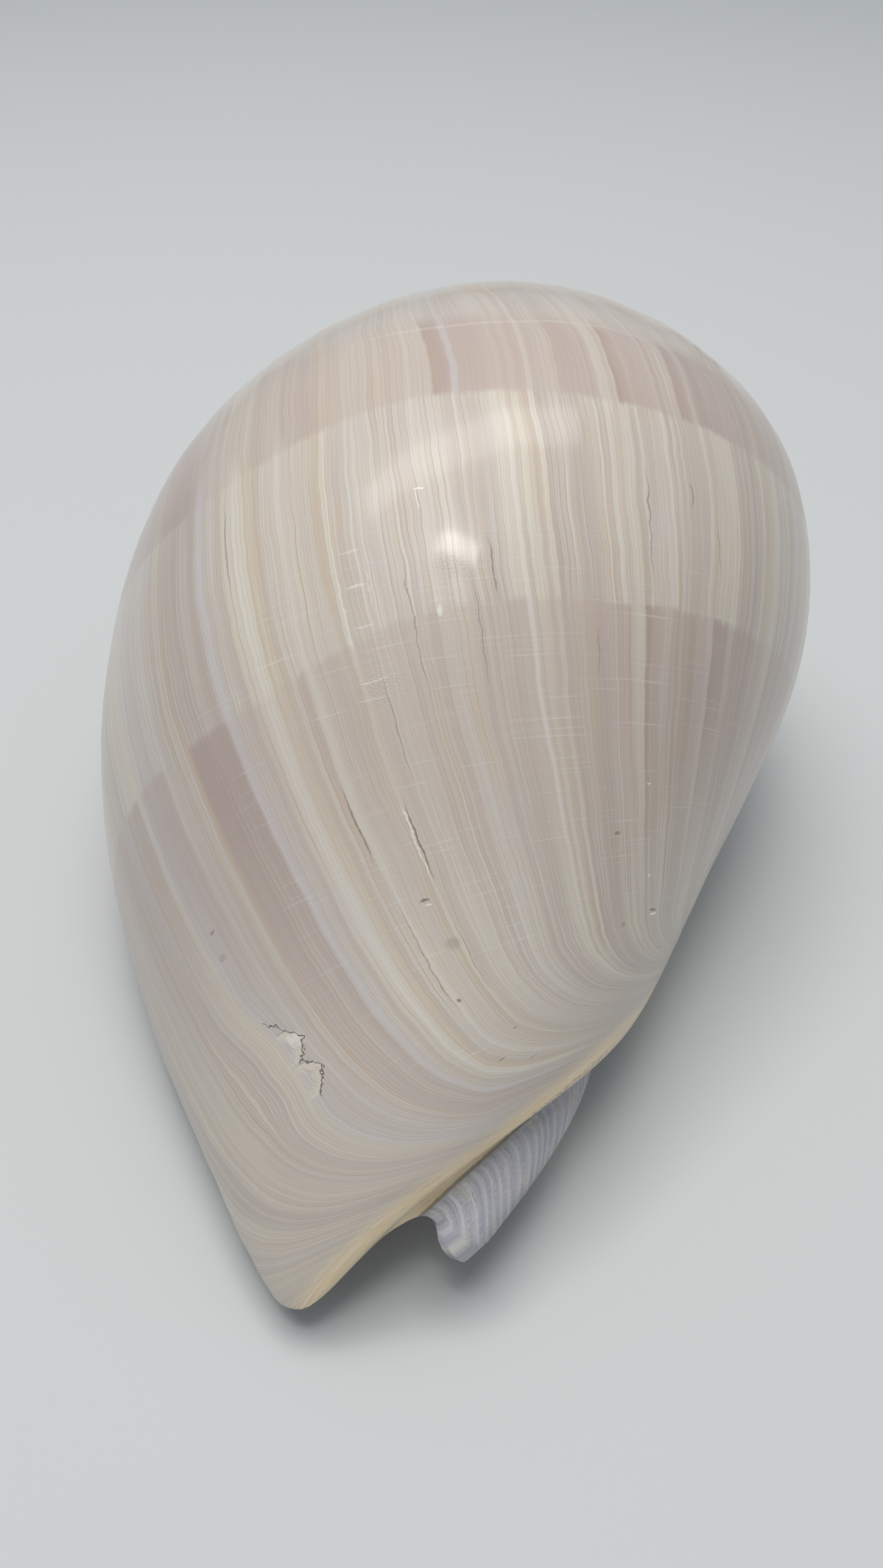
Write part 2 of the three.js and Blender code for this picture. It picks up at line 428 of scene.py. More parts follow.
def write_marks(piece, sources):
    """Copies growth, place and zone from the nearest point of the sheets that the skin was made from."""
    spots = np.concatenate([spot for spot, _ in sources])
    marks = np.concatenate([value for _, value in sources])
    tree = KDTree(len(spots))
    for i, spot in enumerate(spots):
        tree.insert(spot, i)
    tree.balance()
    nearest = [tree.find(v.co)[1] for v in piece.data.vertices]
    for k, name in enumerate(("growth", "place", "zone")):
        layer = piece.data.attributes.new(name, "FLOAT", "POINT")
        layer.data.foreach_set("value", marks[nearest, k].astype(np.float32))


class Value:
    """One output of a shader node, used in plain sums."""

    def __init__(self, paint, socket):
        self.paint = paint
        self.socket = socket

    def _sum(self, operation, *values):
        return self.paint.node("ShaderNodeMath", {"operation": operation}, dict(enumerate(values)))

    def __add__(self, other):
        return self._sum("ADD", self, other)

    __radd__ = __add__

    def __sub__(self, other):
        return self._sum("SUBTRACT", self, other)

    def __rsub__(self, other):
        return self._sum("SUBTRACT", other, self)

    def __mul__(self, other):
        return self._sum("MULTIPLY", self, other)

    __rmul__ = __mul__

    def __truediv__(self, other):
        return self._sum("DIVIDE", self, other)

    def __abs__(self):
        return self._sum("ABSOLUTE", self)

    def most(self, other):
        return self._sum("MAXIMUM", self, other)

    def sine(self):
        return self._sum("SINE", self)

    def other(self, output):
        """Another output of the same node."""
        return Value(self.paint, self.socket.node.outputs[output])

    def smooth(self, low, high, top=1.0):
        """Nought below low, top above high and smooth between, or the other way round."""
        ends = (0.0, top) if low < high else (top, 0.0)
        values = {"Value": self, "From Min": min(low, high), "From Max": max(low, high),
                  "To Min": ends[0], "To Max": ends[1]}
        return self.paint.node("ShaderNodeMapRange", {"interpolation_type": "SMOOTHSTEP"}, values)


class Paint:
    """Node tree of one material, written as sums."""

    def __init__(self, name):
        self.material = bpy.data.materials.new(name)
        self.material.use_nodes = True
        self.tree = self.material.node_tree
        self.tree.nodes.clear()

    def node(self, kind, settings=None, values=None, output=0):
        """A node of this kind: its settings first, then the values or links of its sockets."""
        made = self.tree.nodes.new(kind)
        for name, setting in (settings or {}).items():
            if name == "stops":
                self._stops(made.color_ramp, setting)
            else:
                setattr(made, name, setting)
        for name, value in (values or {}).items():
            if isinstance(value, Value):
                self.tree.links.new(value.socket, made.inputs[name])
            else:
                made.inputs[name].default_value = value
        return Value(self, made.outputs[output]) if made.outputs else made

    @staticmethod
    def _stops(ramp, stops):
        ramp.elements.remove(ramp.elements[-1])
        for number, (position, colour, *share) in enumerate(stops):
            element = ramp.elements.new(position) if number else ramp.elements[0]
            element.position = position
            element.color = (*shade(colour)[:3], share[0] if share else 1)

    def attribute(self, name):
        return self.node("ShaderNodeAttribute", {"attribute_name": name}, output="Fac")

    def vector(self, x, y, z):
        return self.node("ShaderNodeCombineXYZ", None, {"X": x, "Y": y, "Z": z})

    def noise(self, where, scale, detail, rough=0.5):
        """Noise from nought to one, about a half on average."""
        values = {"Vector": where, "Scale": scale, "Detail": detail, "Roughness": rough, "Distortion": 0.0}
        return self.node("ShaderNodeTexNoise", {"noise_dimensions": "3D"}, values)

    def grain(self, across, down, seed, detail, rough=0.5):
        """Noise over the unrolled surface. The seed tells one from another."""
        return self.noise(self.vector(across, down, seed), 1.0, detail, rough)

    def colour_mix(self, share, first, second):
        values = {0: share, 6: colour_of(first), 7: colour_of(second)}
        return self.node("ShaderNodeMix", {"data_type": "RGBA"}, values, output=2)

    def layers(self, base, rows):
        """Lays colours over one another, each by its own share."""
        for share, colour in rows:
            base = self.colour_mix(share, base, colour)
        return base

    def ramp(self, value, stops):
        return self.node("ShaderNodeValToRGB", {"stops": stops}, {"Fac": value})

    def stripes(self, base, growth, stops, share):
        """Stripes along the growth lines. Each stop gives a growth, a colour and how strongly it shows."""
        first, last = stops[0][0], stops[-1][0]
        rows = [((at - first) / (last - first), colour, strength) for at, colour, strength in stops]
        made = self.ramp((growth - first) * (1 / (last - first)), rows)
        return self.colour_mix(made.other("Alpha") * share, base, made)

    def blot(self, where, centre, half, soft, share):
        """An oval mark: one share inside it, nought outside, with a soft edge."""
        scale = (1 / half[0], 1 / half[1], 0)
        offset = (-centre[0] * ROUND / half[0], -centre[1] * ALONG / half[1], 0)
        values = {0: where, 1: scale, 2: offset}
        moved = self.node("ShaderNodeVectorMath", {"operation": "MULTIPLY_ADD"}, values)
        far = self.node("ShaderNodeVectorMath", {"operation": "LENGTH"}, {0: moved}, "Value")
        return far.smooth(1.0, 1 - soft, share)

    def blots(self, where, rows, soft, start):
        """Several oval marks laid over what is there, the strongest showing."""
        for growth, place, half_across, half_down, share in rows:
            start = self.blot(where, (growth, place), (half_across, half_down), soft, share).most(start)
        return start


def linear(channel):
    channel /= 255
    return channel / 12.92 if channel <= 0.04045 else ((channel + 0.055) / 1.055) ** 2.4


def shade(colour):
    """A colour given as three numbers up to 255 on screen, or one grey value from nought to one."""
    if isinstance(colour, (int, float)):
        return (colour, colour, colour, 1)
    return (*[linear(c) for c in colour], 1)


def colour_of(value):
    return value if isinstance(value, Value) else shade(value)


PALE = (198, 189, 180)
CREAM = (205, 194, 176)
TAN = (192, 169, 142)
GREIGE = (187, 176, 167)
ROSE = (181, 162, 152)
MAUVE = (168, 146, 138)
BROWN = (162, 138, 120)
RUST = (172, 136, 106)
LILAC = (196, 192, 195)
WHITE = (222, 217, 208)
DARK = (104, 92, 86)
FRONT_GREIGE = (184, 173, 162)
# Cream of the crest: its own colour, lightened by a painted highlight along the ridge
CREST_CREAM_AND_HIGHLIGHT = [(0.3, (226, 194, 146)), (0.5, (244, 212, 160)), (0.65, (246, 232, 206))]
CREST_WORN = (150, 126, 96)
# Painted shade on the shelf between the crest and the crease
SHELF_SHADE = (150, 144, 144)
# Dark line in the crease beside the lobe: dirt with painted shade
CREASE_DIRT_AND_SHADE = (104, 90, 80)
# Blue-grey of the lobe: its own grey, with painted shade and a painted blue reflection in it
LOBE_GREYS_SHADE_AND_REFLECTION = [(0.3, (150, 150, 160)), (0.5, (164, 162, 168)), (0.62, (186, 178, 170))]
# Painted highlight on the lobe's ridges and painted shade between them
LOBE_RIDGE_HIGHLIGHT = (214, 208, 204)
LOBE_RIDGE_SHADE = (112, 104, 108)
LOBE_TIP = (190, 178, 164)
CHIP_FLOOR = (216, 204, 184)
SCRATCHED = (238, 234, 228)
INSIDE = (232, 208, 176)
INSIDE_PALE = (242, 228, 206)
INSIDE_TAN = (214, 182, 146)

# Stripes of the lower spiral band, back part and front part: growth, colour, how strongly it shows
BACK_BAND = (
    (-2.45, ROSE, 0.3), (-2.34, ROSE, 0.35), (-2.335, CREAM, 0.1), (-2.245, ROSE, 0.25),
    (-2.235, MAUVE, 0.45), (-2.11, MAUVE, 0.5), (-2.1, MAUVE, 0.9), (-2.04, MAUVE, 0.95),
    (-2.036, CREAM, 0.2), (-2.02, ROSE, 0.5), (-1.98, ROSE, 0.45), (-1.97, BROWN, 0.55),
    (-1.925, BROWN, 0.45), (-1.915, ROSE, 0.25), (-1.912, BROWN, 0.55), (-1.888, BROWN, 0.5),
    (-1.882, ROSE, 0.15), (-1.808, BROWN, 0.9), (-1.804, CREAM, 0.1), (-1.765, CREAM, 0.2),
    (-1.76, RUST, 0.5), (-1.735, ROSE, 0.5), (-1.72, ROSE, 0.35), (-1.664, ROSE, 0.75),
    (-1.66, TAN, 0.5), (-1.635, TAN, 0.3), (-1.52, PALE, 0.1), (-1.5, ROSE, 0.55),
    (-1.45, ROSE, 0.4), (-1.44, CREAM, 0.1), (-1.36, CREAM, 0.1),
)
FRONT_BAND = (
    (-1.36, TAN, 0), (-1.35, TAN, 0.4), (-1.33, TAN, 0.35), (-1.325, PALE, 0.1),
    (-1.29, ROSE, 0.4), (-1.262, ROSE, 0.5), (-1.258, CREAM, 0.1), (-1.24, TAN, 0.5),
    (-1.23, PALE, 0.1), (-1.06, ROSE, 0.15), (-0.99, ROSE, 0.4), (-0.985, PALE, 0.1),
    (-0.95, BROWN, 0.45), (-0.93, CREAM, 0.15), (-0.84, PALE, 0.1), (-0.738, PALE, 0.1),
    (-0.734, MAUVE, 0.8), (-0.66, MAUVE, 0.85), (-0.602, MAUVE, 0.75), (-0.597, TAN, 0.6),
    (-0.588, CREAM, 0.2), (-0.5, PALE, 0.15), (-0.49, MAUVE, 0.6), (-0.372, MAUVE, 0.55),
    (-0.368, LILAC, 0.4), (-0.35, LILAC, 0.3), (-0.345, MAUVE, 0.6), (-0.27, MAUVE, 0.5),
    (-0.24, LILAC, 0.3), (-0.2, MAUVE, 0.3),
)

# Stripes of the upper spiral band
UPPER_BAND = (
    (-2.3, MAUVE, 0.2), (-2.13, MAUVE, 0.3), (-2.12, MAUVE, 0.6), (-2.02, MAUVE, 0.65),
    (-2.015, PALE, 0.2), (-2.0, MAUVE, 0.5), (-1.968, MAUVE, 0.9), (-1.964, PALE, 0.15),
    (-1.93, ROSE, 0.45), (-1.83, ROSE, 0.6), (-1.785, BROWN, 0.9), (-1.78, CREAM, 0.15),
    (-1.74, PALE, 0.2), (-1.73, ROSE, 0.6), (-1.645, ROSE, 0.9), (-1.64, CREAM, 0.15),
    (-1.58, PALE, 0.2), (-1.55, ROSE, 0.6), (-1.5, ROSE, 0.5), (-1.485, ROSE, 0.75),
    (-1.41, ROSE, 0.85), (-1.4, LILAC, 0.3), (-1.385, MAUVE, 0.6), (-1.348, BROWN, 0.8),
    (-1.343, CREAM, 0.2), (-1.1, TAN, 0.2), (-1.05, ROSE, 0.4), (-0.94, ROSE, 0.35),
    (-0.9, PALE, 0.15), (-0.72, PALE, 0.15), (-0.7, MAUVE, 0.5), (-0.5, MAUVE, 0.4),
)

# Stripes that run through all of the side
LONG_STRIPES = (
    (-2.35, PALE, 0), (-1.83, BROWN, 0), (-1.806, BROWN, 0.4), (-1.803, CREAM, 0.5),
    (-1.765, CREAM, 0.3), (-1.76, RUST, 0.25), (-1.74, PALE, 0), (-1.52, PALE, 0),
    (-1.514, WHITE, 0.5), (-1.502, WHITE, 0.5), (-1.496, PALE, 0), (-1.0, PALE, 0),
    (-0.99, WHITE, 0.35), (-0.965, WHITE, 0.3), (-0.96, BROWN, 0.3), (-0.95, PALE, 0),
    (-0.925, TAN, 0), (-0.915, TAN, 0.45), (-0.88, TAN, 0.45), (-0.872, WHITE, 0.4),
    (-0.845, WHITE, 0.35), (-0.83, PALE, 0), (-0.77, PALE, 0), (-0.762, LILAC, 0.5),
    (-0.74, LILAC, 0.5), (-0.735, MAUVE, 0.16), (-0.605, MAUVE, 0.16), (-0.598, TAN, 0.5),
    (-0.586, TAN, 0.4), (-0.58, PALE, 0), (-0.37, LILAC, 0.4), (-0.34, PALE, 0),
)

# Cracks along growth lines: growth, place, half widths across and down in millimetres, share
CRACKS = (
    (-1.83, 0.369, 0.22, 17, 0.5),
    (-2.048, 0.37, 0.22, 7, 0.45),
    (-1.962, 0.353, 0.3, 4, 0.45),
    (-1.433, 0.387, 0.24, 8, 0.6),
    (-1.236, 0.401, 0.18, 17, 0.45),
    (-1.384, 0.407, 0.18, 14, 0.4),
    (-1.672, 0.414, 0.22, 6, 0.4),
    (-0.828, 0.355, 0.22, 12, 0.5),
    (-0.955, 0.455, 0.28, 9, 0.65),
    (-0.965, 0.505, 0.24, 22, 0.5),
    (-1.09, 0.465, 0.3, 10, 0.8),
    (-1.093, 0.51, 0.2, 14, 0.4),
    (-1.139, 0.431, 0.2, 12, 0.4),
    (0.01, 0.748, 0.25, 7, 0.7),
    (0.13, 0.736, 0.25, 8, 0.6),
)

# Pits, in the same terms
PITS = (
    (-1.857, 0.5115, 2.6, 0.7, 0.65),
    (-1.69, 0.4745, 1.2, 0.5, 0.6),
    (-1.682, 0.516, 1.3, 1.3, 0.25),
    (-1.82, 0.556, 2.2, 1.5, 0.3),
    (-1.042, 0.4835, 1.6, 0.45, 0.75),
    (-1.06, 0.502, 2.6, 2.0, 0.25),
    (-1.055, 0.558, 0.8, 0.4, 0.6),
    (-0.918, 0.5705, 1.8, 0.4, 0.55),
    (-0.935, 0.583, 1.8, 0.4, 0.45),
    (-0.42, 0.4625, 1.2, 0.35, 0.5),
    (-0.408, 0.471, 1.6, 0.9, 0.25),
    (-0.985, 0.5275, 0.6, 1.0, 0.75),
)

# Pale scratches and chipped rims, the square scars among them, in the same terms
SCRATCHES = (
    (-1.124, 0.374, 2.7, 0.22, 0.28),
    (-1.124, 0.3855, 2.6, 0.28, 0.4),
    (-1.124, 0.3985, 2.4, 0.28, 0.32),
    (-1.087, 0.391, 0.24, 12, 0.3),
    (-1.153, 0.386, 0.2, 7, 0.25),
    (-1.295, 0.357, 1.4, 0.3, 0.7),
    (-1.286, 0.361, 0.2, 3.0, 0.6),
    (-1.299, 0.398, 0.6, 1.3, 0.5),
    (-1.115, 0.4155, 3.8, 0.22, 0.4),
    (-1.1, 0.4205, 3.6, 0.2, 0.3),
    (-1.082, 0.465, 0.3, 9, 0.6),
    (-1.86, 0.514, 2.4, 0.6, 0.9),
    (-1.83, 0.4935, 0.6, 0.5, 0.7),
    (-1.822, 0.4575, 1.0, 0.25, 0.7),
    (-1.045, 0.4855, 1.2, 0.35, 0.5),
)

# Patches where the polish is rough and glints, in the same terms
RASPED = (
    (-1.35, 0.3835, 9, 6, 1.0),
    (-1.13, 0.417, 8, 7, 0.8),
)

# The mended chip is two arrow-shaped cuts: middle in millimetres down, growth of the tip, slope of its sides,
# where the cut starts and ends, and where its pale floor does
CHIP_CUTS = (
    (306.6, -0.508, 0.95, (299, 311.5), (303, 311)),
    (315.6, -0.498, 0.85, (312, 323), (312.5, 322)),
)
CHIP_SHARE = 0.8


class Cells:
    """Stripes of random width across the growth direction."""

    def __init__(self, paint, line, width, seed):
        along = line / width + seed
        where = {"W": along, "Scale": 1.0, "Randomness": 1.0}
        voronoi = {"voronoi_dimensions": "1D", "feature": "F1"}
        first = paint.node("ShaderNodeTexVoronoi", voronoi, where, "Distance")
        second = paint.node("ShaderNodeTexVoronoi", {**voronoi, "feature": "F2"}, where)
        self.border = second - first
        self.lean = along - first.other("W")
        self.one = paint.node("ShaderNodeSeparateColor", None, {"Color": first.other("Color")}, "Red")
        self.two = self.one.other("Green")
        self.three = self.one.other("Blue")


def span(value, low, high, soft):
    return value.smooth(low - soft, low) * value.smooth(high + soft, high)


class Skin:
    """Where a spot lies on the shell, and the patterns there that several parts of the finish share."""

    def __init__(self, paint):
        self.growth = paint.attribute("growth")
        self.place = paint.attribute("place")
        self.outer = paint.attribute("zone").smooth(0.8, 0.3)
        self.across = self.growth * ROUND
        self.down = self.place * ALONG

        # growth lines bulge towards the older side at the mended chip, and wander a little everywhere
        bulge = span(self.place, 0.512, 0.522, 0.03) * span(self.growth, -0.4, -0.3, 0.16) * 4.5
        wander = paint.grain(self.across * 0.06, self.down * 0.04, 3.0, 1.0) - 0.5
        self.kinks = paint.grain(self.across * 0.2, self.down * 0.2, 7.0, 0.0) - 0.5
        line = self.across + wander * 2.2 + self.kinks * 0.5 + bulge
        self.at = line / ROUND

        self.wide = Cells(paint, line, 9.0, 3.3)
        self.medium = Cells(paint, line, 3.1, 7.7)
        self.narrow = Cells(paint, line, 1.15, 1.9)
        self.hair = paint.grain(line * 3.2, self.down * 0.02, 17.0, 1.5, 0.7)
        self.fade = paint.grain(line * 0.12, self.down * 0.03, 23.0, 1.0, 0.6)
        self.worn = paint.grain(self.across * 0.5, self.down * 0.6, 71.0, 2.0, 0.65)
        self.jag = paint.grain(self.across * 0.5, self.down * 0.35, 83.0, 2.0, 0.7) - 0.5
        self.shaken = paint.vector(self.across + self.jag * 1.6, self.down + self.jag * 1.2, 0.0)
        self.striae = paint.grain(self.across * 0.045, self.down * 1.5, 41.0, 1.0, 0.7)
        self.scuffed = span(self.place, 0.39, 0.56, 0.03) * span(self.at, -2.1, -0.8, 0.25)
        self.cloud = paint.noise(paint.node("ShaderNodeTexCoord", output="Object"), 30.0, 1.0)
        self.lobe = self.place.smooth(0.704, 0.712) * self.outer
        ridges = self.growth * RIDGES + (self.growth * 17).sine() * 1.6 + (self.worn - 0.5) * 1.4
        self.ridge = ridges.sine()


def growth_stripes(paint, skin):
    """Pale and darker stripes along the growth lines, from a centimetre wide down to hairs."""
    wide, medium, narrow, hair, fade = skin.wide, skin.medium, skin.narrow, skin.hair, skin.fade
    ground = paint.ramp(wide.one * 0.6 + fade * 0.4, [(0.2, GREIGE), (0.4, PALE), (0.6, CREAM), (0.8, PALE)])
    rusty = medium.border.smooth(0.1, 0.0) * medium.three.smooth(0.45, 0.8)
    thin_lines = narrow.border.smooth(0.22, 0.02, 0.6) * narrow.three.smooth(0.25, 0.6)
    return paint.layers(ground, (
        (wide.two * wide.lean.smooth(-0.5, 0.6, 0.3), ROSE),
        (medium.one.smooth(0.5, 0.9, 0.22), CREAM),
        (medium.two.smooth(0.6, 0.95, 0.16), LILAC),
        (medium.three * medium.lean.smooth(-0.5, 0.7, 0.26), ROSE),
        (narrow.one.smooth(0.3, 0.95, 0.26), BROWN),
        (narrow.two.smooth(0.5, 0.95, 0.16), WHITE),
        (hair.smooth(0.5, 0.66, 0.4), TAN),
        (hair.smooth(0.47, 0.32, 0.26), WHITE),
        (rusty * fade.smooth(0.3, 0.6, 0.5), RUST),
        (medium.border.smooth(0.14, 0.0, 0.3) * medium.one.smooth(0.4, 0.1), WHITE),
        (thin_lines * fade.smooth(0.25, 0.6), RUST),
        (skin.place.smooth(0.5, 0.6, 0.45), FRONT_GREIGE),
    ))


def spiral_bands(paint, skin, base):
    """Two spiral bands with crisp edges that the growth stripes break up, and the side's long stripes."""
    place, at, medium = skin.place, skin.at, skin.medium
    from_edge = place - at.smooth(-1.4, -0.7, 0.014) - (skin.narrow.three - 0.5) * 0.0012
    upper = place.smooth(0.25, 0.27) * from_edge.smooth(0.3205, 0.3165)
    main = from_edge.smooth(0.3955, 0.3985) * place.smooth(0.51, 0.42)
    uneven = skin.fade * 0.5 + 0.45
    base = paint.layers(base, (
        (upper * (medium.two * 0.3 + 0.25), ROSE),
        (main * (medium.three * 0.25 + 0.2), ROSE),
    ))
    back = at.smooth(-1.355, -1.362)
    for stops, where in (
        (UPPER_BAND, upper * (uneven + 0.15)),
        (BACK_BAND, main * back * uneven),
        (FRONT_BAND, main * (1 - back) * uneven),
        (LONG_STRIPES, span(place, 0.33, 0.6, 0.015) * uneven),
    ):
        base = paint.stripes(base, at, stops, where)
    top_line = abs(place - 0.262 - at.smooth(-1.9, -1.4, 0.009)).smooth(0.0016, 0.0004, 0.22)
    return paint.colour_mix(top_line * span(at, -1.95, -1.35, 0.25), base, WHITE)


def front_fold(paint, skin, base):
    """Cream crest with its worn edge and a painted highlight along it, the shelf beside it in painted shade,
    and the dark crease, dirt with painted shade in it.
    """
    place, growth, worn = skin.place, skin.growth, skin.worn
    fibres = paint.grain(skin.across * 0.05, skin.down * 1.3, 61.0, 2.0, 0.6)
    crest = place.smooth(0.607, 0.63) * place.smooth(0.712, 0.7)
    edge = abs(place - 0.64 + (worn - 0.5) * 0.02).smooth(0.008, 0.003, 0.8) * worn.smooth(0.42, 0.58)
    return paint.layers(base, (
        # the crest's cream, partly a painted highlight along the ridge
        (crest * (fibres * 0.25 + 0.7), paint.ramp(fibres, CREST_CREAM_AND_HIGHLIGHT)),
        # painted shade on the shelf, strongest in the older part and fading out towards the lip
        (span(place, 0.668, 0.704, 0.014) * growth.smooth(0.15, -0.5, 0.75), SHELF_SHADE),
        (edge * span(growth, -0.7, -0.35, 0.2), CREST_WORN),
        # dirt and painted shade in the crease
        (abs(place - 0.705 + (worn - 0.5) * 0.006).smooth(0.006, 0.001, 0.75), CREASE_DIRT_AND_SHADE),
    ))


def front_lobe(paint, skin, base):
    """Grey ridged lobe at the front tip. Its blue-grey is partly painted shade and a painted reflection, with
    painted highlights on the ridges and painted shade between them.
    """
    ridge, hair = skin.ridge, skin.hair
    # the lobe's grey, partly painted shade and reflection
    grey = paint.ramp(skin.fade * 0.5 + skin.worn * 0.5, LOBE_GREYS_SHADE_AND_REFLECTION)
    grey = paint.layers(grey, (
        # painted highlight on the ridges' crests and painted shade in the troughs between them
        (ridge.smooth(0.3, 1.0, 0.28) * (hair + 0.4), LOBE_RIDGE_HIGHLIGHT),
        (ridge.smooth(-0.5, -1.0, 0.16), LOBE_RIDGE_SHADE),
        (hair.smooth(0.5, 0.7, 0.3), WHITE),
        (skin.place.smooth(0.84, 0.95, 0.6), LOBE_TIP),
    ))
    return paint.colour_mix(skin.lobe, base, grey)


def top_wear(paint, skin, base):
    """Worn yellowish and lilac places beside the first turns."""
    old = skin.place.smooth(0.25, 0.22)
    return paint.layers(base, (
        (skin.place.smooth(0.275, 0.25, 0.5), GREIGE),
        (old * skin.fade.smooth(0.4, 0.65, 0.35), TAN),
        (old * skin.fade.smooth(0.5, 0.3, 0.25), LILAC),
    ))


def mended_chip(skin):
    """Jagged cut of the mended chip, and the pale floor behind it."""
    down = skin.down
    cuts = []
    floors = []
    for middle, tip, slope, ends, floor_ends in CHIP_CUTS:
        inwards = skin.across + skin.jag * 5 - abs(down - middle) * slope - tip * ROUND
        cuts.append(abs(inwards).smooth(0.35, 0.08) * span(down, *ends, 0.8))
        floors.append(inwards.smooth(0, 0.4) * inwards.smooth(5, 1) * span(down, *floor_ends, 0.5))
    return cuts[1].most(cuts[0]) * CHIP_SHARE, floors[1].most(floors[0]) * skin.outer


def damage(paint, skin, base):
    """Chip, cracks, pits, scratches and fine spiral scuffs. Gives the colour and what the relief needs."""
    across, down, outer = skin.across, skin.down, skin.outer
    swung = paint.vector(across + skin.kinks * 1.3 + skin.jag * 0.9, down, 0.0)
    chip, chip_floor = mended_chip(skin)
    cut = paint.blots(swung, CRACKS, 0.6, chip)
    cut = paint.blots(skin.shaken, PITS, 0.6, cut) * outer
    pale = span(skin.growth, -0.5, -0.455, 0.004) * span(down, 304.5, 307.5, 0.6) * (skin.worn - 0.2)
    pale = paint.blots(skin.shaken, SCRATCHES, 0.5, pale) * outer
    base = paint.layers(base, (
        (chip_floor * 0.6, CHIP_FLOOR),
        (pale, SCRATCHED),
        (cut, DARK),
        (skin.striae.smooth(0.6, 0.78) * (skin.scuffed * 0.2 + 0.06) * outer, WHITE),
    ))
    return base, cut, chip * 0.25 + chip_floor * 0.1


def inside_paint(paint, skin):
    """Warmer, plainer inside of the mouth."""
    return paint.layers(INSIDE, (
        (skin.cloud.smooth(0.3, 0.75, 0.6), INSIDE_PALE),
        (skin.medium.one * 0.25, INSIDE_TAN),
    ))


def fine_relief(paint, skin, chipped):
    """Relief too small for the mesh, in millimetres."""
    medium, narrow = skin.medium, skin.narrow
    glints = paint.grain(skin.across * 3.2, skin.down * 3.2, 51.0, 1.0, 0.75)
    rasp = paint.blots(skin.shaken, RASPED, 1.0, 0.0)
    height = medium.lean * medium.one * 0.02 + narrow.lean * narrow.one * 0.012 + (skin.hair - 0.5) * 0.012
    height = height + (skin.striae - 0.5) * (skin.scuffed * 0.012 + 0.006)
    height = height + (glints - 0.5) * rasp * 0.16
    height = height + skin.ridge * skin.lobe * 0.03 + (skin.worn - 0.5) * skin.lobe * 0.1
    height = (height - chipped) * skin.outer + (skin.cloud - 0.5) * 0.06
    return paint.node("ShaderNodeBump", None, {"Strength": 1.0, "Distance": MM, "Height": height})


def shell_paint():
    """Finish of the shell: growth lines, spiral bands, damage and the polish over them."""
    paint = Paint("shell")
    skin = Skin(paint)
    base = growth_stripes(paint, skin)
    base = spiral_bands(paint, skin, base)
    base = front_fold(paint, skin, base)
    base = front_lobe(paint, skin, base)
    base = top_wear(paint, skin, base)
    base, cut, chipped = damage(paint, skin, base)
    base = paint.colour_mix(skin.outer, inside_paint(paint, skin), base)
    shader = paint.node("ShaderNodeBsdfPrincipled", None, {
        "Base Color": base,
        "Roughness": (skin.cloud - 0.5) * 0.1 + skin.lobe * 0.18 + cut * 0.3 + 0.34,
        "Normal": fine_relief(paint, skin, chipped),
        "IOR": 1.5,
        "Coat Weight": 0.55 - skin.lobe * 0.4 - cut * 0.4,
        "Coat Roughness": 0.12,
    })
    paint.node("ShaderNodeOutputMaterial", None, {"Surface": shader})
    return paint.material


class ShellSettings(bpy.types.PropertyGroup):
    rows_back: bpy.props.IntProperty(
        name="Rows at the back", description="Rows of the wall in its hidden half turn", default=46)
    rows_front: bpy.props.IntProperty(
        name="Rows at the front", description="Rows of the wall from the shoulder to the lip", default=216)
    columns: bpy.props.IntProperty(
        name="Columns", description="Columns of points from the top to the front tip", default=112)


class StageSettings(bpy.types.PropertyGroup):
    floor_size: bpy.props.FloatProperty(
        name="Floor", description="Side of the square floor", default=6.0, unit="LENGTH")
    floor_colour: bpy.props.FloatVectorProperty(
        name="Floor colour", description="Colour of the floor", default=(0.55, 0.55, 0.54), subtype="COLOR")


class MELON_OT_shell(bpy.types.Operator):
    """Build the shell as one closed skin and give it its finish"""

    bl_idname = "melon.shell"
    bl_label = "Shell"

    def execute(self, context):
        props = context.scene.melon_shell
        wall, wall_marks = grid_shaped("shell", *last_turn(props.rows_back, props.rows_front, props.columns))
        filled_from = HOLLOW_END - FILLED_TURNS
        early_to = filled_from + OVERLAP
        belly, belly_marks = grid_shaped("belly", *filled_turns(filled_from, HOLLOW_END, 72, 96))
        early, early_marks = grid_shaped("early", *filled_turns(early_to - EARLY_TURNS, early_to, 72, 64))
        core, core_marks = grid_shaped("core", *column(150, 96))
        ball, ball_marks = first_turn()
        join(wall, [belly, early, core, ball])
        close_up(wall)
        write_marks(wall, [wall_marks, belly_marks, early_marks, core_marks, ball_marks])
        only(wall)
        bpy.ops.object.shade_smooth_by_angle(angle=math.radians(40))
        wall.data.materials.clear()
        wall.data.materials.append(shell_paint())
        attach(wall, "root")
        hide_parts("melon_shell")
        return {"FINISHED"}


def area_light(name, place, target, size, power, colour=(1, 1, 1)):
    light = bpy.data.lights.new(name, "AREA")
    light.shape = "RECTANGLE"
    light.size, light.size_y = size
    light.energy = power
    light.color = colour
    lamp = bpy.data.objects.new(name, light)
    bpy.context.scene.collection.objects.link(lamp)
    lamp.location = place
    lamp.rotation_euler = (Vector(target) - Vector(place)).to_track_quat("-Z", "Y").to_euler()
    return lamp


def floor_paint(colour):
    paint = Paint("floor")
    shader = paint.node("ShaderNodeBsdfPrincipled", None, {"Base Color": (*colour, 1), "Roughness": 0.6})
    paint.node("ShaderNodeOutputMaterial", None, {"Surface": shader})
    return paint.material


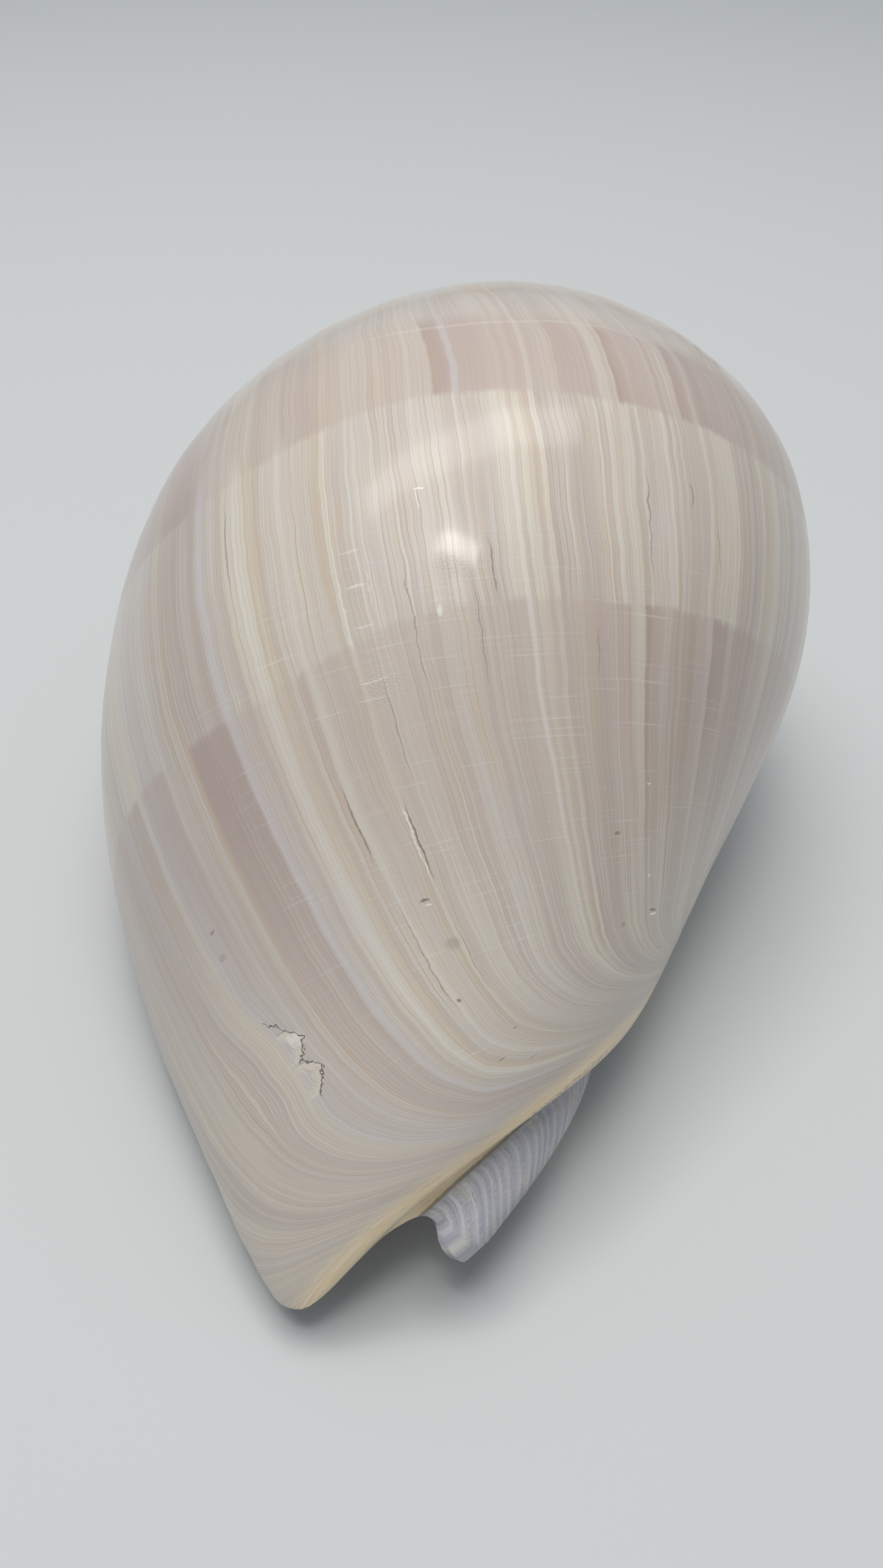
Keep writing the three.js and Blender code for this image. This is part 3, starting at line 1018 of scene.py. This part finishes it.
class MELON_OT_stage(bpy.types.Operator):
    """Add the floor, the soft lights and the camera"""

    bl_idname = "melon.stage"
    bl_label = "Stage"

    def execute(self, context):
        props = context.scene.melon_stage
        deselect()
        bpy.ops.mesh.primitive_plane_add(size=props.floor_size)
        floor = context.object
        floor.name = "floor"
        floor.data.materials.append(floor_paint(props.floor_colour))
        soft = area_light("soft_light", (-0.12, 0.1, 1.3), (0, 0, 0.05), (0.9, 0.9), 12)
        soft.visible_glossy = False
        area_light("strip_light", (-0.08, 0.27, 1.05), (0, 0, 0.09), (1.05, 0.17), 1.8, (1, 0.98, 0.96))
        area_light("front_light", (-0.06, -0.18, 1.07), (0, 0, 0.09), (0.24, 0.09), 1.0, (1, 0.98, 0.96))
        world = bpy.data.worlds.new("studio")
        world.use_nodes = True
        sky = world.node_tree.nodes["Background"]
        sky.inputs["Color"].default_value = (0.8, 0.91, 1, 1)
        sky.inputs["Strength"].default_value = 0.38
        context.scene.world = world
        context.scene.view_settings.view_transform = "Standard"
        camera = bpy.data.objects.new("camera", bpy.data.cameras.new("camera"))
        context.scene.collection.objects.link(camera)
        camera.data.sensor_width = SENSOR
        camera.data.lens = SENSOR * PHOTO_FOCAL / max(PHOTO_SIZE)
        camera.data.clip_start = 0.01
        camera.location = Vector(CAMERA_AT) * MM
        camera.rotation_euler = [math.radians(a) for a in CAMERA_TURN]
        context.scene.camera = camera
        return {"FINISHED"}


class MELON_PT_panel(bpy.types.Panel):
    """Lists the operators and settings of the shell and its stage"""

    bl_label = "Melon shell"
    bl_idname = "MELON_PT_panel"
    bl_space_type = "VIEW_3D"
    bl_region_type = "UI"
    bl_category = "Melon shell"

    def draw(self, context):
        layout = self.layout
        for group, operator in (("melon_shell", "melon.shell"), ("melon_stage", "melon.stage")):
            settings = getattr(context.scene, group)
            for name in settings.__annotations__:
                layout.prop(settings, name)
            layout.operator(operator)


CLASSES = (ShellSettings, StageSettings, MELON_OT_shell, MELON_OT_stage, MELON_PT_panel)


def register():
    for cls in CLASSES:
        bpy.utils.register_class(cls)
    bpy.types.Scene.melon_shell = bpy.props.PointerProperty(type=ShellSettings)
    bpy.types.Scene.melon_stage = bpy.props.PointerProperty(type=StageSettings)


def unregister():
    del bpy.types.Scene.melon_stage
    del bpy.types.Scene.melon_shell
    for cls in reversed(CLASSES):
        bpy.utils.unregister_class(cls)


def main():
    register()
    bpy.ops.melon.shell()
    bpy.ops.melon.stage()
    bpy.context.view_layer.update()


if __name__ == "__main__":
    main()
